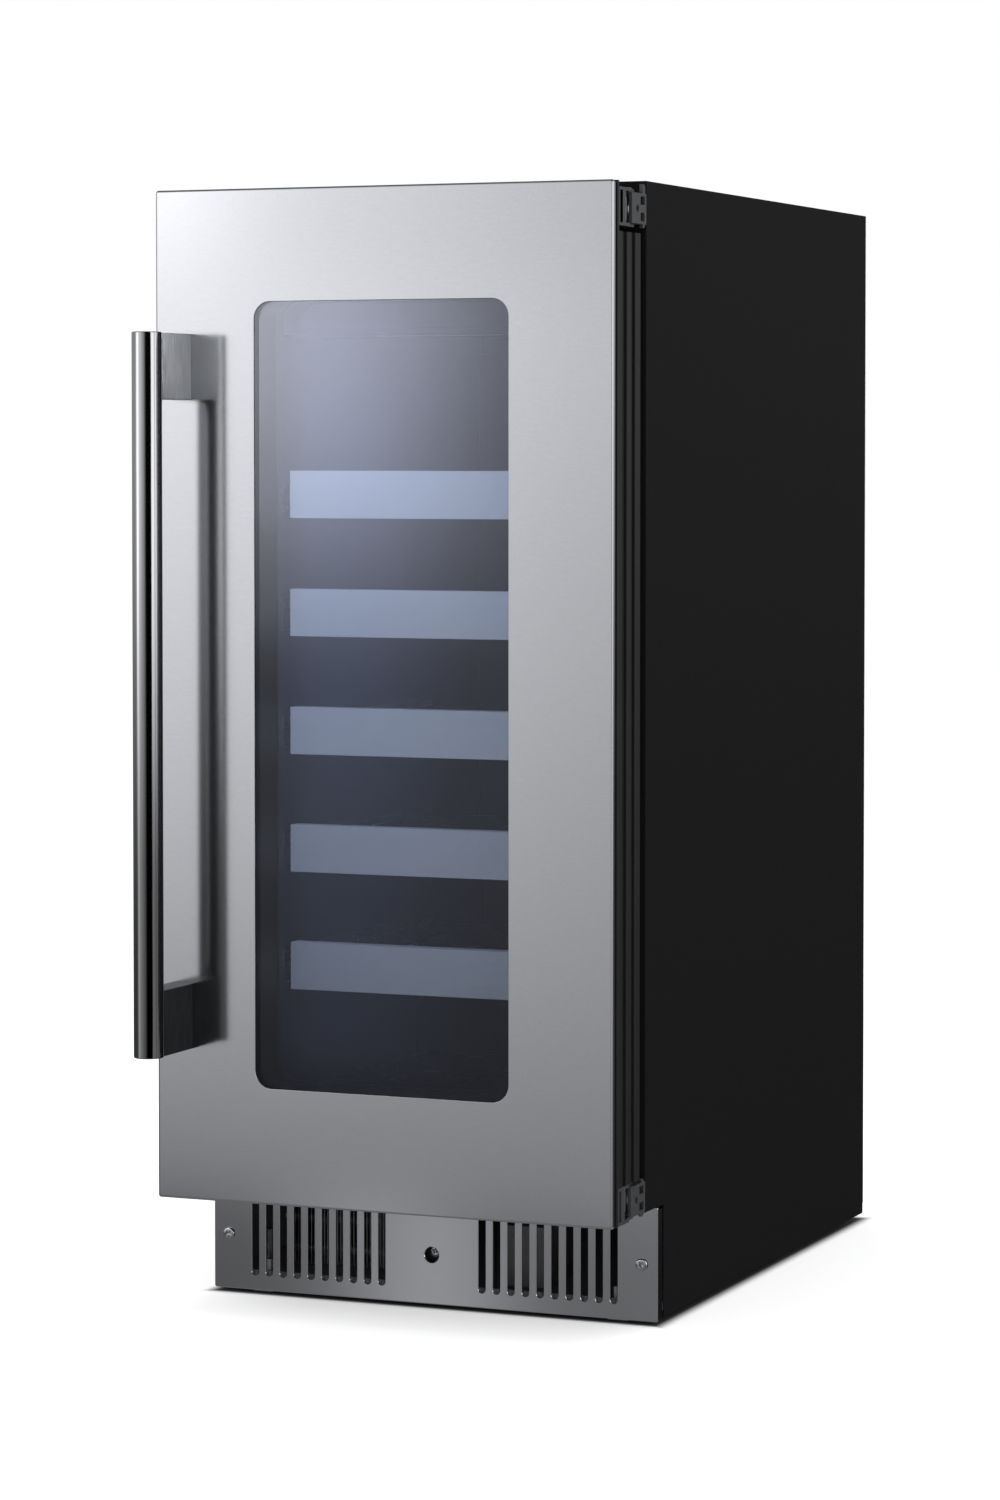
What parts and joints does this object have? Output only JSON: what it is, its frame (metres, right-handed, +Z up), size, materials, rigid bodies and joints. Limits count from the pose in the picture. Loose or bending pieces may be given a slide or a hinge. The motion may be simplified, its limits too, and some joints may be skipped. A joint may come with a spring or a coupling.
{
  "type": "undercounter wine cooler",
  "caption": "Narrow undercounter wine cooler with a framed glass door, bar handle, slide-out bottle racks and a slotted kick plate.",
  "frame": {"origin": "on the floor, under the centre of the object's box", "axes": "+X to the right as seen from in front, +Y from the door to the back, +Z up"},
  "size_m": [0.375, 0.666, 0.864],
  "materials": {
    "cabinet_black": "satin",
    "galvanised": "satin",
    "stainless": "satin",
    "stainless_bar": "gloss",
    "black_plastic": "matte",
    "grey_plastic": "matte",
    "black_rubber": "matte",
    "foam": "matte",
    "zinc_steel": "satin",
    "black_steel": "satin",
    "aluminium_fins": "satin",
    "clear_glass": "gloss",
    "coated_glass": "gloss",
    "black_glass": "gloss",
    "board_green": "satin",
    "lens_white": "satin"
  },
  "bodies": {
    "cabinet": {"outer_wrap": "cabinet_black", "back_panel": "galvanised", "rear_grille": "galvanised", "cord_gland": "black_rubber", "cabinet_insulation": "foam", "liner": "black_plastic", "bottom_panel": "galvanised", "base_pan": "galvanised", "leg_nuts": "zinc_steel", "kick_plate": "stainless", "kick_brackets": "black_steel", "plinth_screws": "zinc_steel", "compressor": "black_steel", "compressor_feet": "black_rubber", "drain_tray": "grey_plastic", "condenser": "aluminium_fins", "condenser_fan_shroud": "grey_plastic", "condenser_fan_motor": "black_plastic", "junction_box": "grey_plastic", "evaporator_cover": "black_plastic", "evaporator": "aluminium_fins", "evaporator_fan_motor": "black_plastic", "control_housing": "black_plastic", "control_glass": "black_glass", "control_board": "board_green", "led_lens": "lens_white", "shelf_runners": "zinc_steel", "hinge_leaves": "zinc_steel", "hinge_pins": "zinc_steel", "leaf_screws": "zinc_steel", "bottom_rack": "black_steel"},
    "door": {"door_skin": "stainless", "door_frame": "black_plastic", "door_insulation": "foam", "door_liner": "black_plastic", "window_reveal": "black_plastic", "gasket": "black_rubber", "glass_outer": "clear_glass", "glass_inner": "coated_glass", "handle_bar": "stainless_bar", "handle_posts": "stainless_bar", "handle_screws": "zinc_steel", "door_brackets": "zinc_steel", "bracket_screws": "zinc_steel"},
    "shelf_1": {"shelf_rack_1": "black_steel", "shelf_strip_1": "stainless"},
    "shelf_2": {"shelf_rack_2": "black_steel", "shelf_strip_2": "stainless"},
    "shelf_3": {"shelf_rack_3": "black_steel", "shelf_strip_3": "stainless"},
    "shelf_4": {"shelf_rack_4": "black_steel", "shelf_strip_4": "stainless"},
    "shelf_5": {"shelf_rack_5": "black_steel", "shelf_strip_5": "stainless"},
    "leg_front_left": {"leg_front_left": "zinc_steel"},
    "leg_front_right": {"leg_front_right": "zinc_steel"},
    "leg_rear_left": {"leg_rear_left": "zinc_steel"},
    "leg_rear_right": {"leg_rear_right": "zinc_steel"},
    "condenser_fan": {"condenser_fan": "black_plastic"},
    "evaporator_fan": {"evaporator_fan": "black_plastic"}
  },
  "joints": [
    {"name": "door_hinge", "type": "hinge", "parent": "cabinet", "child": "door", "pos_m": [0.178, -0.217, 0.475], "axis": [0, 0, 1], "range_deg": [0, 110]},
    {"name": "shelf_1_slide", "type": "slide", "parent": "cabinet", "child": "shelf_1", "axis": [0, -1, 0], "range_m": [0, 0.165]},
    {"name": "shelf_2_slide", "type": "slide", "parent": "cabinet", "child": "shelf_2", "axis": [0, -1, 0], "range_m": [0, 0.165]},
    {"name": "shelf_3_slide", "type": "slide", "parent": "cabinet", "child": "shelf_3", "axis": [0, -1, 0], "range_m": [0, 0.165]},
    {"name": "shelf_4_slide", "type": "slide", "parent": "cabinet", "child": "shelf_4", "axis": [0, -1, 0], "range_m": [0, 0.165]},
    {"name": "shelf_5_slide", "type": "slide", "parent": "cabinet", "child": "shelf_5", "axis": [0, -1, 0], "range_m": [0, 0.165]},
    {"name": "leg_front_left_screw", "type": "slide", "parent": "cabinet", "child": "leg_front_left", "axis": [0, 0, -1], "range_m": [0, 0.02]},
    {"name": "leg_front_right_screw", "type": "slide", "parent": "cabinet", "child": "leg_front_right", "axis": [0, 0, -1], "range_m": [0, 0.02]},
    {"name": "leg_rear_left_screw", "type": "slide", "parent": "cabinet", "child": "leg_rear_left", "axis": [0, 0, -1], "range_m": [0, 0.02]},
    {"name": "leg_rear_right_screw", "type": "slide", "parent": "cabinet", "child": "leg_rear_right", "axis": [0, 0, -1], "range_m": [0, 0.02]},
    {"name": "condenser_fan_spin", "type": "hinge", "parent": "cabinet", "child": "condenser_fan", "pos_m": [-0.092, -0.065, 0.052], "axis": [0, 1, 0], "continuous": true},
    {"name": "evaporator_fan_spin", "type": "hinge", "parent": "cabinet", "child": "evaporator_fan", "pos_m": [0, 0.2545, 0.64], "axis": [0, 1, 0], "continuous": true}
  ],
  "couplings": [
    {"joint": "shelf_1_slide", "follows": "door_hinge", "m_per_rad": 0.0859},
    {"joint": "shelf_2_slide", "follows": "door_hinge", "m_per_rad": 0.0859},
    {"joint": "shelf_3_slide", "follows": "door_hinge", "m_per_rad": 0.0859},
    {"joint": "shelf_4_slide", "follows": "door_hinge", "m_per_rad": 0.0859},
    {"joint": "shelf_5_slide", "follows": "door_hinge", "m_per_rad": 0.0859}
  ]
}
